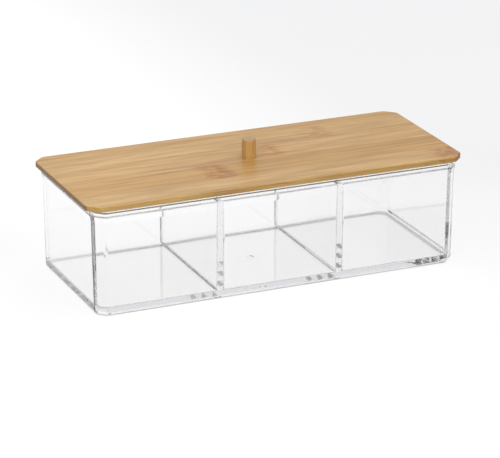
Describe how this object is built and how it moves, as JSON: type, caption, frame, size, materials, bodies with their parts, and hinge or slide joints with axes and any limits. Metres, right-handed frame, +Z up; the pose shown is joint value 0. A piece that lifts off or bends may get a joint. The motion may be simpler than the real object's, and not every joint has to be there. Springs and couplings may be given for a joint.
{
  "type": "vanity organizer",
  "caption": "Long clear moulded tray split into side-by-side compartments, closed by a lift-off bamboo lid board with a small cylinder knob, for cotton pads, buds and cosmetics.",
  "frame": {"origin": "centre of the tray's underside, on the surface it stands on", "axes": "+Z up, +X along the row of compartments, -Y towards the front as pictured"},
  "size_m": [0.26, 0.1074, 0.0857],
  "materials": {
    "clear_plastic": "clear polished moulding",
    "bamboo_strip": "satin lacquered flat-pressed bamboo",
    "bamboo_plug": "sanded bamboo",
    "bamboo_knob": "satin lacquered bamboo, end grain on top",
    "screw_steel": "zinc-plated steel"
  },
  "bodies": {
    "tray": {"tray": "clear_plastic"},
    "lid": {"lid_strip_1": "bamboo_strip", "lid_strip_2": "bamboo_strip", "lid_strip_3": "bamboo_strip", "lid_strip_4": "bamboo_strip", "lid_strip_5": "bamboo_strip", "lid_plug": "bamboo_plug", "lid_knob": "bamboo_knob", "knob_screw": "screw_steel"}
  },
  "joints": [
    {"name": "lid_lift", "type": "slide", "parent": "tray", "child": "lid", "axis": [0, 0, 1], "range_m": [0, 0.1]}
  ]
}
